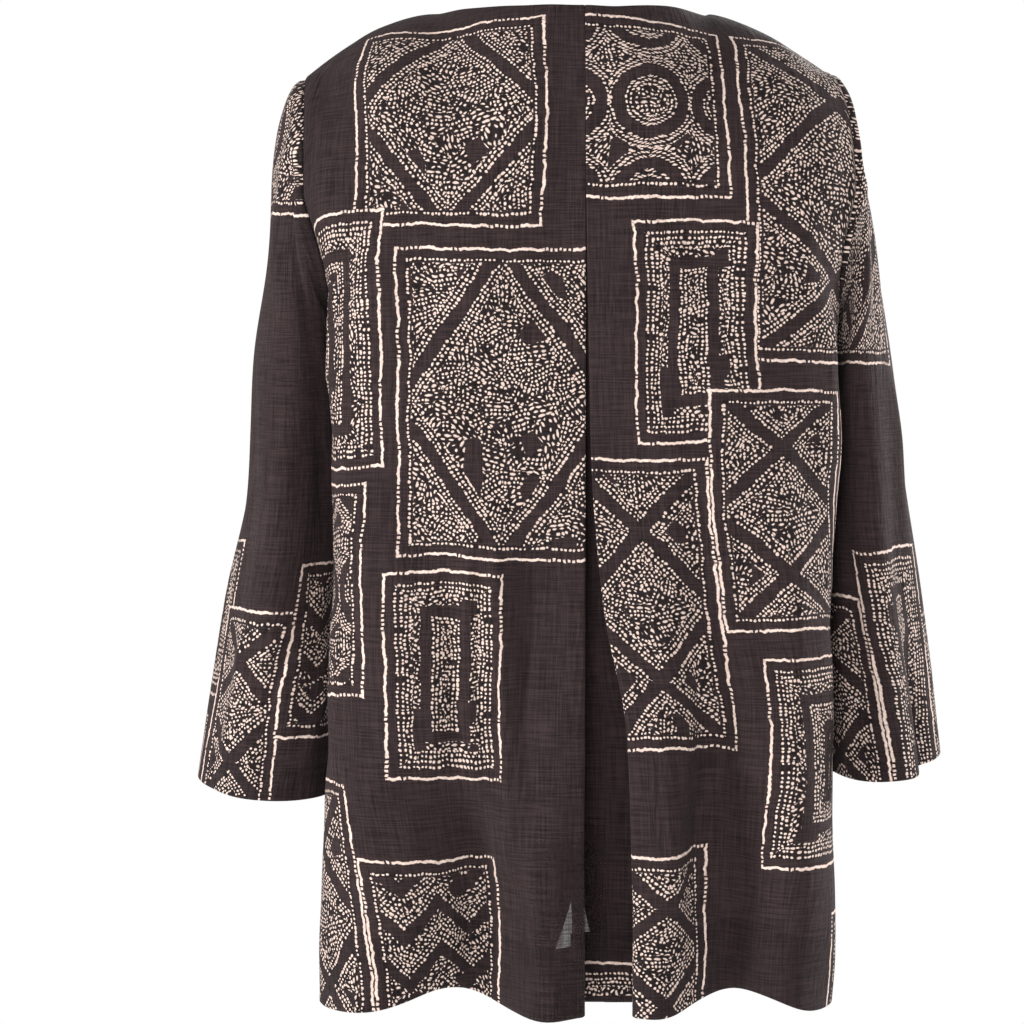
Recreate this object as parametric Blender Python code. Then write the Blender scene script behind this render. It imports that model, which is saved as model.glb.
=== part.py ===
"""Loose tunic blouse: a back with one inverted pleat, two fronts with a hem vent, two set-in sleeves.

It is hollow and filled out as when worn. Metres, +Z up. The wearer faces -Y, so the wearer's left is +X.
The origin lies midway between the neck ends of the two shoulder seams.
"""

import math

import bmesh
import bpy
import numpy as np


def table(names, rows):
    """Rows of numbers with named columns."""
    return [dict(zip(names.split(), row)) for row in rows]


# Cloth
WALL = 0.0015
HEM_WALL = 0.0024
HEM_DEPTH = 0.055
CUFF_HEM_DEPTH = 0.025
SEAM_GAP = 0.0003

# Neck and shoulders
NECK_HALF_WIDTH = 0.109
FRONT_NECK_DROP = 0.095
BACK_NECK_RISE = 0.038
NECK_RISE_POWER = 1.5
SHOULDER_ROLL = 0.13
SHOULDER_CURVE = {"left": 1.7, "right": 1.4}

# Lengths, as heights below the neck
UNDERARM = -0.240
BACK_HEM = -0.773
FRONT_HEM_DIP = 0.025
HEM_FOLLOWS_FOLDS = 0.40

# Centre lines
PLEAT_EDGE = -0.0087
CENTRE_SHIFT_HEIGHT = 0.25
VENT_TOP = -0.700
VENT_HALF_WIDTH = {"left": 0.020, "right": 0.014}
VENT_SPREAD_POWER = 1.3

# The body's plan: a rounded box, widest a little behind the side seams
SIDE_POWER = 3.0
TAPER = {1: 0.30, -1: -0.10}
TAPER_FADE = 0.135

SIDES = {"left": 1, "right": -1}
BACK, FRONT = 1, -1

BODY = table(
    "height left right back front",
    [
        (0.000, 0.171, 0.190, 0.100, 0.100),
        (-0.120, 0.171, 0.190, 0.106, 0.116),
        (-0.240, 0.171, 0.190, 0.110, 0.132),
        (-0.400, 0.1715, 0.189, 0.109, 0.132),
        (-0.550, 0.173, 0.188, 0.111, 0.122),
        (-0.650, 0.177, 0.191, 0.114, 0.113),
        (-0.800, 0.180, 0.188, 0.118, 0.104),
    ],
)

ARMHOLE_HALF_DEPTH = 0.072
ARMHOLE_UNDERCUT = 1.2
ARMHOLE_SWELL = 0.55
ARMHOLE_FLARE = 0.8
LEAST_TURN = 0.05
ARMHOLES = {
    "left": {"shoulder_x": 0.211, "shoulder_z": -0.051, "middle_x": 0.208, "underarm_x": 0.171},
    "right": {"shoulder_x": 0.201, "shoulder_z": -0.046, "middle_x": 0.218, "underarm_x": 0.190},
}

# The pleat: its cloth, the width open between its fold edges, how far each fold turns and how round it is
PLEAT_CLOTH = 0.172
PLEAT = table(
    "height open turn radius",
    [
        (0.000, 0.0021, 180, 0.0012),
        (-0.150, 0.0030, 178, 0.0012),
        (-0.250, 0.0042, 170, 0.0013),
        (-0.390, 0.0075, 151, 0.0016),
        (-0.470, 0.0160, 136, 0.0022),
        (-0.545, 0.0310, 120, 0.0032),
        (-0.650, 0.0360, 106, 0.0044),
        (-0.800, 0.0375, 97, 0.0055),
    ],
)

# Hanging folds: where each lies across, how far out it stands at the hem, its width and where it starts.
# They die away towards the side seams, by this power of the share across.
FOLD_FADE_POWER = 8
FOLDS = {
    BACK: table(
        "across out width starts",
        [
            (0.165, 0.011, 0.026, -0.46),
            (0.077, -0.038, 0.030, -0.42),
            (0.018, 0.010, 0.022, -0.45),
            (-0.064, 0.007, 0.020, -0.40),
            (-0.115, -0.036, 0.028, -0.31),
            (-0.180, 0.010, 0.024, -0.45),
        ],
    ),
    FRONT: table(
        "across out width starts",
        [
            (0.145, 0.014, 0.030, -0.36),
            (0.088, -0.026, 0.027, -0.30),
            (0.040, 0.012, 0.022, -0.44),
            (-0.052, 0.013, 0.024, -0.40),
            (-0.104, -0.029, 0.030, -0.28),
            (-0.160, 0.013, 0.028, -0.42),
        ],
    ),
}

# Sleeves: each section's outer and inner edge, its middle and half depth front to back, and its rear groove
SLEEVE_COLUMNS = "outer_x outer_z inner_x inner_z middle_y depth groove"
SLEEVES = {
    "left": table(
        SLEEVE_COLUMNS,
        [
            (0.211, -0.051, 0.171, -0.240, 0.000, 0.072, 0.00),
            (0.2245, -0.080, 0.1795, -0.2385, -0.002, 0.072, 0.00),
            (0.2350, -0.121, 0.1815, -0.252, -0.008, 0.071, 0.00),
            (0.2420, -0.178, 0.1830, -0.275, -0.016, 0.070, 0.00),
            (0.2500, -0.250, 0.1840, -0.318, -0.022, 0.070, 0.00),
            (0.2575, -0.327, 0.1850, -0.372, -0.025, 0.070, 0.03),
            (0.2650, -0.397, 0.1855, -0.428, -0.026, 0.070, 0.05),
            (0.2780, -0.464, 0.1860, -0.484, -0.026, 0.071, 0.06),
            (0.2900, -0.536, 0.1870, -0.550, -0.025, 0.073, 0.08),
            (0.3010, -0.607, 0.1880, -0.614, -0.024, 0.076, 0.10),
        ],
    ),
    "right": table(
        SLEEVE_COLUMNS,
        [
            (0.201, -0.046, 0.190, -0.240, 0.000, 0.072, 0.00),
            (0.2130, -0.085, 0.2000, -0.2385, -0.003, 0.071, 0.00),
            (0.2265, -0.130, 0.2030, -0.252, -0.011, 0.069, 0.00),
            (0.2425, -0.178, 0.2045, -0.275, -0.020, 0.067, 0.02),
            (0.2545, -0.250, 0.2050, -0.318, -0.027, 0.066, 0.10),
            (0.2645, -0.327, 0.2050, -0.372, -0.029, 0.068, 0.20),
            (0.2725, -0.397, 0.2050, -0.428, -0.029, 0.071, 0.26),
            (0.2830, -0.464, 0.2050, -0.484, -0.028, 0.075, 0.31),
            (0.2935, -0.528, 0.2050, -0.542, -0.026, 0.079, 0.35),
            (0.3025, -0.590, 0.2050, -0.598, -0.024, 0.084, 0.38),
        ],
    ),
}
GROOVE_PLACE = math.radians(42)
GROOVE_WIDTH = math.radians(26)
SLEEVE_SECTION_POWER = 2.2
# From the armhole the cloth reaches out sideways over the first sections, before it hangs
CAP_REACH = 0.014
CAP_RINGS = 2.0
CAP_REACH_POWER = 0.7
CAP_FALL = 0.35
CAP_BLEND = 4.0
# Each cuff hangs lower at its rear, more so towards the hem
CUFF_DIP = 0.007
CUFF_DIP_POWER = 3

# Mesh density
LOWER_ROWS = 10
UPPER_ROWS = 12
NECK_COLUMNS = 9
SHOULDER_COLUMNS = 9
SHOULDER_CROWDING = 2.5
SLEEVE_RINGS = 16
ARC_STEPS = 4
RUN_STEPS = 3
UNDERLAY_STEPS = 4
SLOPE_STEP = 0.001
SHARP_ANGLE = math.radians(50)

CLOTH_COLOUR = (0.042, 0.031, 0.033, 1.0)
CLOTH_ROUGHNESS = 0.9


def smooth(t):
    t = min(max(t, 0.0), 1.0)
    return t * t * (3 - 2 * t)


def mix(a, b, t):
    return a + (b - a) * t


def read(rows, key, name, at):
    """The named column at a place along the key column, on a smooth curve through the rows."""
    rows = sorted(rows, key=lambda row: row[key])
    keys = np.array([row[key] for row in rows])
    values = np.array([row[name] for row in rows])
    at = min(max(at, keys[0]), keys[-1])
    slopes = np.gradient(values, keys)
    i = min(int(np.searchsorted(keys, at, side="right")) - 1, len(keys) - 2)
    step = keys[i + 1] - keys[i]
    t = (at - keys[i]) / step
    start = values[i] * (1 + 2 * t) * (1 - t) ** 2 + slopes[i] * step * t * (1 - t) ** 2
    end = values[i + 1] * t * t * (3 - 2 * t) - slopes[i + 1] * step * t * t * (1 - t)
    return float(start + end)


def unit(vector):
    vector = np.array(vector, float)
    return vector / np.linalg.norm(vector)


def clear_scene():
    for thing in list(bpy.data.objects):
        bpy.data.objects.remove(thing)


def cloth_material(name):
    material = bpy.data.materials.new(name)
    material.use_nodes = True
    shader = material.node_tree.nodes["Principled BSDF"]
    shader.inputs["Base Color"].default_value = CLOTH_COLOUR
    shader.inputs["Roughness"].default_value = CLOTH_ROUGHNESS
    shader.inputs["Metallic"].default_value = 0.0
    return material


def armhole(side, face, turn):
    """The armhole seam. turn is 0 at the shoulder and pi under the arm; face is its back or front half."""
    sizes = ARMHOLES[side]
    height = mix(sizes["shoulder_z"], UNDERARM, (1 - math.cos(turn)) / 2)
    if turn < math.pi / 2:
        x = mix(sizes["shoulder_x"], sizes["middle_x"], math.sin(turn))
    else:
        fall = abs(math.cos(turn))
        x = mix(sizes["middle_x"], sizes["underarm_x"], fall**ARMHOLE_UNDERCUT)
        x += sizes["underarm_x"] * TAPER[face] * ARMHOLE_SWELL * math.sin(turn) * fall**3
    return np.array([SIDES[side] * x, face * ARMHOLE_HALF_DEPTH * math.sin(turn), height])


def armhole_normal(side, face, turn):
    """The way that body and sleeve both face along their seam, so that their edges stay parallel."""
    return unit([SIDES[side] * ARMHOLE_FLARE, face * math.sin(turn), math.cos(turn)])


def shoulder_height(side, x):
    """Height of the shoulder line, level at the neck and falling to the armhole."""
    sizes = ARMHOLES[side]
    out = (abs(x) - NECK_HALF_WIDTH) / (sizes["shoulder_x"] - NECK_HALF_WIDTH)
    return sizes["shoulder_z"] * max(out, 0.0) ** SHOULDER_CURVE[side]


def form_top(side, face, x):
    """Where the rounded body form would end if no neck were cut out of it."""
    if face == FRONT:
        return shoulder_height(side, x)
    middle = max(1 - (x / NECK_HALF_WIDTH) ** 2, 0.0)
    return shoulder_height(side, x) + BACK_NECK_RISE * middle**NECK_RISE_POWER


def cut_top(side, face, x):
    """Height of the panel's upper edge: the neckline, then the shoulder seam."""
    if face == BACK or abs(x) >= NECK_HALF_WIDTH:
        return shoulder_height(side, x)
    return -FRONT_NECK_DROP * (1 - (x / NECK_HALF_WIDTH) ** 2)


def fold_out(face, x, height):
    """How far the hanging folds move the cloth out at this place."""
    out = 0.0
    for fold in FOLDS[face]:
        growth = smooth((fold["starts"] - height) / (fold["starts"] - BACK_HEM))
        out += fold["out"] * growth * math.exp(-(((x - fold["across"]) / fold["width"]) ** 2))
    return out


def pleat_at(height):
    """Sizes of the pleat at this height. The runs are as long as its cloth allows."""
    opening = read(PLEAT, "height", "open", height)
    turn = math.radians(read(PLEAT, "height", "turn", height))
    radius = read(PLEAT, "height", "radius", height)
    bends = 4 * radius * (turn - math.sin(turn)) + 2 * radius
    run = (PLEAT_CLOTH - opening - bends) / (2 * (1 - math.cos(turn)))
    underlay = opening + 2 * radius - 4 * radius * math.sin(turn) - 2 * run * math.cos(turn)
    left = PLEAT_EDGE + radius
    return {"left": left, "right": left - opening - 2 * radius, "turn": turn, "radius": radius,
            "run": run, "underlay": underlay}


def centre_line(side, face, height):
    """Where a half panel begins: at its pleat fold, or at the centre front seam and vent."""
    if face == BACK:
        return pleat_at(height)[side]
    shift = PLEAT_EDGE * smooth(-height / CENTRE_SHIFT_HEIGHT)
    down = max((VENT_TOP - height) / (VENT_TOP - BACK_HEM), 0.0)
    return shift + SIDES[side] * VENT_HALF_WIDTH[side] * down**VENT_SPREAD_POWER


def form_depth(side, face, x, height):
    """How far the form stands out from the shoulder line, before its plan rounds it towards the side."""
    down = min(max((form_top(side, face, x) - height) / SHOULDER_ROLL, 0.0), 1.0)
    roll = math.sqrt(1 - (1 - down) ** 2)
    return read(BODY, "height", "back" if face == BACK else "front", height) * roll


def armhole_turn(side, height):
    share = (height - UNDERARM) / (ARMHOLES[side]["shoulder_z"] - UNDERARM)
    return math.acos(2 * min(share, 1.0) - 1)


def body_edge(side, face, height):
    """The panel's outer edge at this height: the side seam, then the armhole, then the shoulder point."""
    if height <= UNDERARM:
        return np.array([SIDES[side] * read(BODY, "height", side, height), 0.0, height])
    return armhole(side, face, armhole_turn(side, height))


def edge_roundness(side, face, height):
    """The share of the form's depth left at the panel's edge: none on the side seam, more on the armhole."""
    if height <= UNDERARM:
        return 0.0
    _, y, z = armhole(side, face, max(armhole_turn(side, height), LEAST_TURN))
    return abs(y) / form_depth(side, face, ARMHOLES[side]["shoulder_x"], z)


def hem_height(side, face, across):
    x = mix(centre_line(side, face, BACK_HEM), SIDES[side] * BODY[-1][side], across)
    dip = FRONT_HEM_DIP * (1 - across**2) if face == FRONT else 0.0
    folds = fold_out(face, x, BACK_HEM) * (1 - across**FOLD_FADE_POWER)
    return BACK_HEM - dip - HEM_FOLLOWS_FOLDS * folds


def panel_point(side, face, across, row, x=None):
    """A point of the body cloth.

    across runs from 0 at the centre line to 1 at the side seam or armhole. row runs from 0 at the hem,
    through 1 at the underarm, to 2 at the neck and shoulder. The pleat's layers give their own x.
    """
    rise = (1 - math.cos(math.pi * max(row - 1, 0.0))) / 2
    top_x = x
    if x is None:
        start = centre_line(side, face, 0.0)
        top_x = mix(start, SIDES[side] * ARMHOLES[side]["shoulder_x"], across)
    lower = mix(hem_height(side, face, across), UNDERARM, min(row, 1.0))
    height = mix(lower, cut_top(side, face, top_x), rise)
    edge = body_edge(side, face, height)
    at_edge = edge_roundness(side, face, height)
    reach = (1 - at_edge**SIDE_POWER) ** (1 / SIDE_POWER)
    roundness = (1 - (across * reach) ** SIDE_POWER) ** (1 / SIDE_POWER)
    if x is None:
        start = centre_line(side, face, height)
        taper = TAPER[face] * (1 - smooth((height - UNDERARM) / TAPER_FADE))
        x = start + (edge[0] - start) * across * (1 + taper * roundness) / (1 + taper * at_edge)
    y = form_depth(side, face, top_x, height) * roundness if across < 1 else abs(edge[1])
    y += fold_out(face, x, height) * (1 - across**FOLD_FADE_POWER)
    return np.array([x, face * y, height])


def panel_columns(side, face):
    """Places of the columns, which meet those of the other panel at the neck and along the shoulder."""
    start = centre_line(side, face, 0.0)
    end = SIDES[side] * ARMHOLES[side]["shoulder_x"]
    neck = (SIDES[side] * NECK_HALF_WIDTH - start) / (end - start)
    inner = [neck * math.sin(math.pi / 2 * i / NECK_COLUMNS) for i in range(NECK_COLUMNS)]
    shares = [1 - (1 - i / SHOULDER_COLUMNS) ** SHOULDER_CROWDING for i in range(SHOULDER_COLUMNS + 1)]
    return inner + [mix(neck, 1.0, share) for share in shares]


def hem_row():
    """The row at the top of the turned-up hem."""
    return HEM_DEPTH / (UNDERARM - BACK_HEM)


def panel_rows():
    """Rows from the hem up."""
    lower = [0.0] + [mix(hem_row(), 1.0, i / (LOWER_ROWS - 1)) for i in range(LOWER_ROWS - 1)]
    return lower + [1 + i / UPPER_ROWS for i in range(UPPER_ROWS + 1)]


def half_panel(side, face):
    """Grid of points, hem to neck and centre to side, with the normals that its seams share."""
    rows, columns = panel_rows(), panel_columns(side, face)
    grid = np.array([[panel_point(side, face, across, row) for across in columns] for row in rows])
    seam_normals = {}
    for r, row in enumerate(rows):
        side_way = [SIDES[side], 0, 0] if row < 1 else armhole_normal(side, face, math.pi * (2 - row))
        seam_normals[r, len(columns) - 1] = unit(side_way)
    for c in range(NECK_COLUMNS, len(columns) - 1):
        x = grid[-1, c, 0]
        ahead, behind = shoulder_height(side, x + SLOPE_STEP), shoulder_height(side, x - SLOPE_STEP)
        fall = (ahead - behind) / (2 * SLOPE_STEP)
        seam_normals[len(rows) - 1, c] = unit([-fall, 0, 1])
    draw_back(grid, (slice(None), -1), (slice(None), -2))
    draw_back(grid, (-1, slice(NECK_COLUMNS, None)), (-2, slice(NECK_COLUMNS, None)))
    return grid, seam_normals


def draw_back(grid, edge, inside):
    """Moves an edge of the grid into its own cloth by half the seam gap."""
    way = grid[inside] - grid[edge]
    grid[edge] += way / np.linalg.norm(way, axis=-1, keepdims=True) * SEAM_GAP / 2


def pleat_path(height):
    """Places across and depths inward of the pleat's cloth, from the left fold to the right one."""
    sizes = pleat_at(height)
    turn, radius = sizes["turn"], sizes["radius"]
    place, heading = np.array([sizes["left"], 0.0]), math.pi
    path = []

    def bend(angle):
        nonlocal place, heading
        chord = 2 * radius * math.sin(abs(angle) / ARC_STEPS / 2)
        for _ in range(ARC_STEPS):
            middle = heading + angle / ARC_STEPS / 2
            place = place + chord * np.array([math.cos(middle), math.sin(middle)])
            heading += angle / ARC_STEPS
            path.append(place)

    def straight(length, steps):
        nonlocal place
        for _ in range(steps):
            place = place + length / steps * np.array([math.cos(heading), math.sin(heading)])
            path.append(place)

    bend(turn)
    straight(sizes["run"], RUN_STEPS)
    bend(-turn)
    straight(sizes["underlay"], UNDERLAY_STEPS)
    bend(-turn)
    straight(sizes["run"], RUN_STEPS)
    bend(turn)
    return path[:-1]


def pleat_grid():
    """The folded cloth between the two half backs, each layer laid inward from the body's own form."""
    form, inward = [], []
    for row in panel_rows():
        height = panel_point("left", BACK, 0.0, row)[2]
        folds = pleat_at(height)
        line = []
        for x, _ in pleat_path(height):
            side = "left" if x > (folds["left"] + folds["right"]) / 2 else "right"
            edge = body_edge(side, BACK, height)[0]
            across = max((x - folds[side]) / (edge - folds[side]), 0.0)
            line.append(panel_point(side, BACK, across, row, x=x))
        form.append(line)
        inward.append([[depth] for _, depth in pleat_path(height)])
    form = np.array(form)
    up = np.gradient(form, axis=0)
    outward = np.stack([np.zeros(up.shape[:2]), up[..., 2], -up[..., 1]], axis=-1)
    outward /= np.linalg.norm(outward, axis=-1, keepdims=True)
    return form + np.array(inward) * outward


def wall(name, grid, thickness, seam_normals, facing=1, tube=False):
    """One closed solid: the grid's cloth, made thickness[row] thick half to each side."""
    rows, columns = grid.shape[:2]
    along = np.gradient(grid, axis=0)
    if tube:
        across = (np.roll(grid, -1, axis=1) - np.roll(grid, 1, axis=1)) / 2
    else:
        across = np.gradient(grid, axis=1)
    normals = np.cross(across, along) * facing
    normals /= np.linalg.norm(normals, axis=-1, keepdims=True)
    for place, normal in seam_normals.items():
        normals[place] = normal
    half = np.array(thickness)[:, None, None] / 2
    mesh = bmesh.new()
    skins = [
        [[mesh.verts.new(point) for point in line] for line in grid + way * half * normals]
        for way in (1, -1)
    ]
    for skin in skins:
        for r in range(rows - 1):
            for c in range(columns if tube else columns - 1):
                d = (c + 1) % columns
                mesh.faces.new((skin[r][c], skin[r][d], skin[r + 1][d], skin[r + 1][c]))
    rims = [[(r, c) for c in range(columns)] for r in (0, rows - 1)]
    if tube:
        rims = [rim + rim[:1] for rim in rims]
    else:
        rims += [[(r, c) for r in range(rows)] for c in (0, columns - 1)]
    for rim in rims:
        for (r, c), (s, d) in zip(rim, rim[1:]):
            mesh.faces.new((skins[0][r][c], skins[0][s][d], skins[1][s][d], skins[1][r][c]))
    bmesh.ops.recalc_face_normals(mesh, faces=mesh.faces)
    data = bpy.data.meshes.new(name)
    mesh.to_mesh(data)
    mesh.free()
    data.shade_smooth()
    data.set_sharp_from_angle(angle=SHARP_ANGLE)
    piece = bpy.data.objects.new(name, data)
    data.materials.append(cloth_material(name + "_cloth"))
    bpy.context.scene.collection.objects.link(piece)
    return piece


def body_thickness():
    return [HEM_WALL if row <= hem_row() else WALL for row in panel_rows()]


def build_back():
    """Left half from side to pleat, the pleat, then the right half from pleat to side."""
    left, left_normals = half_panel("left", BACK)
    right, right_normals = half_panel("right", BACK)
    pleat = pleat_grid()
    last = left.shape[1] - 1
    before = last + 1 + pleat.shape[1]
    normals = {(r, last - c): normal for (r, c), normal in left_normals.items()}
    normals.update({(r, before + c): normal for (r, c), normal in right_normals.items()})
    grid = np.concatenate([left[:, ::-1], pleat, right], axis=1)
    return wall("back", grid, body_thickness(), normals)


def build_front(side):
    grid, normals = half_panel(side, FRONT)
    draw_back(grid, (slice(None), 0), (slice(None), 1))
    return wall("front_" + side, grid, body_thickness(), normals, facing=SIDES[side])


def sleeve_point(side, along, turn):
    """A point of the sleeve. turn runs once round: the outer edge, the rear, the inner edge, the front."""
    stations = [dict(row, number=i) for i, row in enumerate(SLEEVES[side])]
    size = {name: read(stations, "number", name, along) for name in SLEEVE_COLUMNS.split()}
    power = 2 / SLEEVE_SECTION_POWER
    out = math.copysign(abs(math.cos(turn)) ** power, math.cos(turn))
    back = math.copysign(abs(math.sin(turn)) ** power, math.sin(turn))
    pull = 1 - size["groove"] * math.exp(-(((turn - GROOVE_PLACE) / GROOVE_WIDTH) ** 2))
    x = mix(size["inner_x"], size["outer_x"], (1 + out * pull) / 2)
    z = mix(size["inner_z"], size["outer_z"], (1 + out * pull) / 2)
    z -= CUFF_DIP * max(back, 0.0) * (along / stations[-1]["number"]) ** CUFF_DIP_POWER
    hanging = np.array([SIDES[side] * x, size["middle_y"] + size["depth"] * back * pull, z])
    face = BACK if turn <= math.pi else FRONT
    seam = armhole(side, face, turn if face == BACK else 2 * math.pi - turn)
    reach = CAP_REACH * min(along / CAP_RINGS, 1.0) **CAP_REACH_POWER
    cap = seam + reach * np.array([SIDES[side], 0.0, -CAP_FALL])
    return mix(cap, hanging, smooth(along / CAP_BLEND))


def build_sleeve(side):
    last = len(SLEEVES[side]) - 1
    cuff = last * (1 - CUFF_HEM_DEPTH / (SLEEVES[side][0]["outer_z"] - SLEEVES[side][-1]["outer_z"]))
    places = [cuff * i / (SLEEVE_RINGS - 2) for i in range(SLEEVE_RINGS - 1)] + [last]
    turns = [math.pi * i / UPPER_ROWS for i in range(2 * UPPER_ROWS)]
    grid = np.array([[sleeve_point(side, along, turn) for turn in turns] for along in places])
    normals = {}
    for c, turn in enumerate(turns):
        face = BACK if turn <= math.pi else FRONT
        normals[0, c] = armhole_normal(side, face, turn if face == BACK else 2 * math.pi - turn)
    draw_back(grid, 0, 1)
    thickness = [WALL] * (SLEEVE_RINGS - 2) + [HEM_WALL] * 2
    return wall("sleeve_" + side, grid, thickness, normals, facing=-SIDES[side], tube=True)


def build_blouse():
    clear_scene()
    build_back()
    for side in SIDES:
        build_front(side)
        build_sleeve(side)


build_blouse()
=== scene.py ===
import math

import bpy
import numpy as np
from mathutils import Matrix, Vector


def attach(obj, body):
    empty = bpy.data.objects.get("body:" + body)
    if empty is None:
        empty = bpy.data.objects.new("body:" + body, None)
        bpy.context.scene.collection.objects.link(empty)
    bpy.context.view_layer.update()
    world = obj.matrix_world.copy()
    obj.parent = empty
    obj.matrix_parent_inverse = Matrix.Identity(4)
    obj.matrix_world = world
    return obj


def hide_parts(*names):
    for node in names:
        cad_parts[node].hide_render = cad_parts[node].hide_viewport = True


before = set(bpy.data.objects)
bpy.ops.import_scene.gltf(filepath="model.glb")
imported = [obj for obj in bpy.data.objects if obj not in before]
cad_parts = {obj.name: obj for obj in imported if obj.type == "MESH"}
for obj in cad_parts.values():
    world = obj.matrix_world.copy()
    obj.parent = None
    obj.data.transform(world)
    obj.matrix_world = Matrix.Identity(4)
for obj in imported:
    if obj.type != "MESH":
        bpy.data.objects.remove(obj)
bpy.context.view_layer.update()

print("frame loaded")


def table(names, rows):
    return dict(zip(names.split(), np.array(rows, float).T))


back, front = 1, -1
sides = {"left": 1, "right": -1}

# the garment's form, as the frame's solids have it: metres, +Z up, +Y out of the back
form = {
    "neckHalfWidth": 0.109, "frontNeckDrop": 0.095, "backNeckRise": 0.038, "neckRisePower": 1.5,
    "shoulderRoll": 0.13, "shoulderCurve": {"left": 1.7, "right": 1.4},
    "underarm": -0.240, "backHem": -0.773, "frontHemDip": 0.025, "hemFollowsFolds": 0.40,
    "pleatEdge": -0.0087, "centreShiftHeight": 0.25,
    "ventTop": -0.700, "ventSpreadPower": 1.3, "ventHalfWidth": {"left": 0.020, "right": 0.014},
    "sidePower": 3.0, "taper": {back: 0.30, front: -0.10}, "taperFade": 0.135,
    "armholeHalfDepth": 0.072, "armholeUndercut": 1.2, "armholeSwell": 0.55, "leastTurn": 0.05,
    "foldFadePower": 8,
}
armholes = {
    "left": {"shoulderX": 0.211, "shoulderZ": -0.051, "middleX": 0.208, "underarmX": 0.171},
    "right": {"shoulderX": 0.201, "shoulderZ": -0.046, "middleX": 0.218, "underarmX": 0.190},
}
body = table(
    "height left right back front",
    [
        (0.000, 0.171, 0.190, 0.100, 0.100),
        (-0.120, 0.171, 0.190, 0.106, 0.116),
        (-0.240, 0.171, 0.190, 0.110, 0.132),
        (-0.400, 0.1715, 0.189, 0.109, 0.132),
        (-0.550, 0.173, 0.188, 0.111, 0.122),
        (-0.650, 0.177, 0.191, 0.114, 0.113),
        (-0.800, 0.180, 0.188, 0.118, 0.104),
    ],
)
hangingFolds = {
    back: [
        (0.165, 0.011, 0.026, -0.46), (0.077, -0.038, 0.030, -0.42),
        (0.018, 0.010, 0.022, -0.45), (-0.064, 0.007, 0.020, -0.40),
        (-0.115, -0.036, 0.028, -0.31), (-0.180, 0.010, 0.024, -0.45),
    ],
    front: [
        (0.145, 0.014, 0.030, -0.36), (0.088, -0.026, 0.027, -0.30),
        (0.040, 0.012, 0.022, -0.44), (-0.052, 0.013, 0.024, -0.40),
        (-0.104, -0.029, 0.030, -0.28), (-0.160, 0.013, 0.028, -0.42),
    ],
}


def smooth(t):
    t = np.clip(t, 0.0, 1.0)
    return t * t * (3 - 2 * t)


def between(a, b, t):
    return a + (b - a) * t


def unit(vectors):
    return vectors / np.maximum(np.linalg.norm(vectors, axis=-1, keepdims=True), 1e-12)


def readAt(rows, key, name, at):
    order = np.argsort(rows[key])
    keys, values = rows[key][order], rows[name][order]
    at = np.clip(at, keys[0], keys[-1])
    slopes = np.gradient(values, keys)
    i = np.clip(np.searchsorted(keys, at, side="right") - 1, 0, len(keys) - 2)
    step = keys[i + 1] - keys[i]
    t = (at - keys[i]) / step
    start = values[i] * (1 + 2 * t) * (1 - t) ** 2 + slopes[i] * step * t * (1 - t) ** 2
    end = values[i + 1] * t * t * (3 - 2 * t) - slopes[i + 1] * step * t * t * (1 - t)
    return start + end


def armholePoint(side, face, turn):
    sizes = armholes[side]
    height = between(sizes["shoulderZ"], form["underarm"], (1 - np.cos(turn)) / 2)
    fall = np.abs(np.cos(turn))
    upper = between(sizes["shoulderX"], sizes["middleX"], np.sin(turn))
    lower = between(sizes["middleX"], sizes["underarmX"], fall ** form["armholeUndercut"])
    swell = form["taper"][face] * form["armholeSwell"] * np.sin(turn) * fall**3
    x = np.where(turn < np.pi / 2, upper, lower + sizes["underarmX"] * swell)
    y = face * form["armholeHalfDepth"] * np.sin(turn)
    return np.stack([sides[side] * x, y, height], axis=-1)


def shoulderHeight(side, x):
    sizes = armholes[side]
    out = (np.abs(x) - form["neckHalfWidth"]) / (sizes["shoulderX"] - form["neckHalfWidth"])
    return sizes["shoulderZ"] * np.maximum(out, 0.0) ** form["shoulderCurve"][side]


def neckShare(x):
    return np.maximum(1 - (x / form["neckHalfWidth"]) ** 2, 0.0)


def formTop(side, face, x):
    rise = form["backNeckRise"] * neckShare(x) ** form["neckRisePower"] if face == back else 0.0
    return shoulderHeight(side, x) + rise


def cutTop(side, face, x):
    return shoulderHeight(side, x) - (form["frontNeckDrop"] * neckShare(x) if face == front else 0.0)


def foldOut(face, x, height):
    out = np.zeros(np.broadcast(x, height).shape)
    for across, depth, width, starts in hangingFolds[face]:
        growth = smooth((starts - height) / (starts - form["backHem"]))
        out += depth * growth * np.exp(-(((x - across) / width) ** 2))
    return out


# the inverted pleat: 172 mm of cloth folded inwards, closed at the neck and open at the hem
pleat = {
    "cloth": 0.172, "arcSteps": 6, "runSteps": 12, "underlaySteps": 16,
    "calm": {"from": -0.50, "over": 0.12, "share": 0.35, "columns": 9.0},
    "sizes": table(
        "height open turn radius",
        [
            (0.000, 0.0004, 180, 0.0008),
            (-0.120, 0.0006, 179, 0.0008),
            (-0.250, 0.0026, 171, 0.0011),
            (-0.390, 0.0075, 151, 0.0016),
            (-0.470, 0.0160, 136, 0.0022),
            (-0.545, 0.0310, 120, 0.0032),
            (-0.650, 0.0360, 106, 0.0044),
            (-0.800, 0.0375, 97, 0.0055),
        ],
    ),
}


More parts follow.
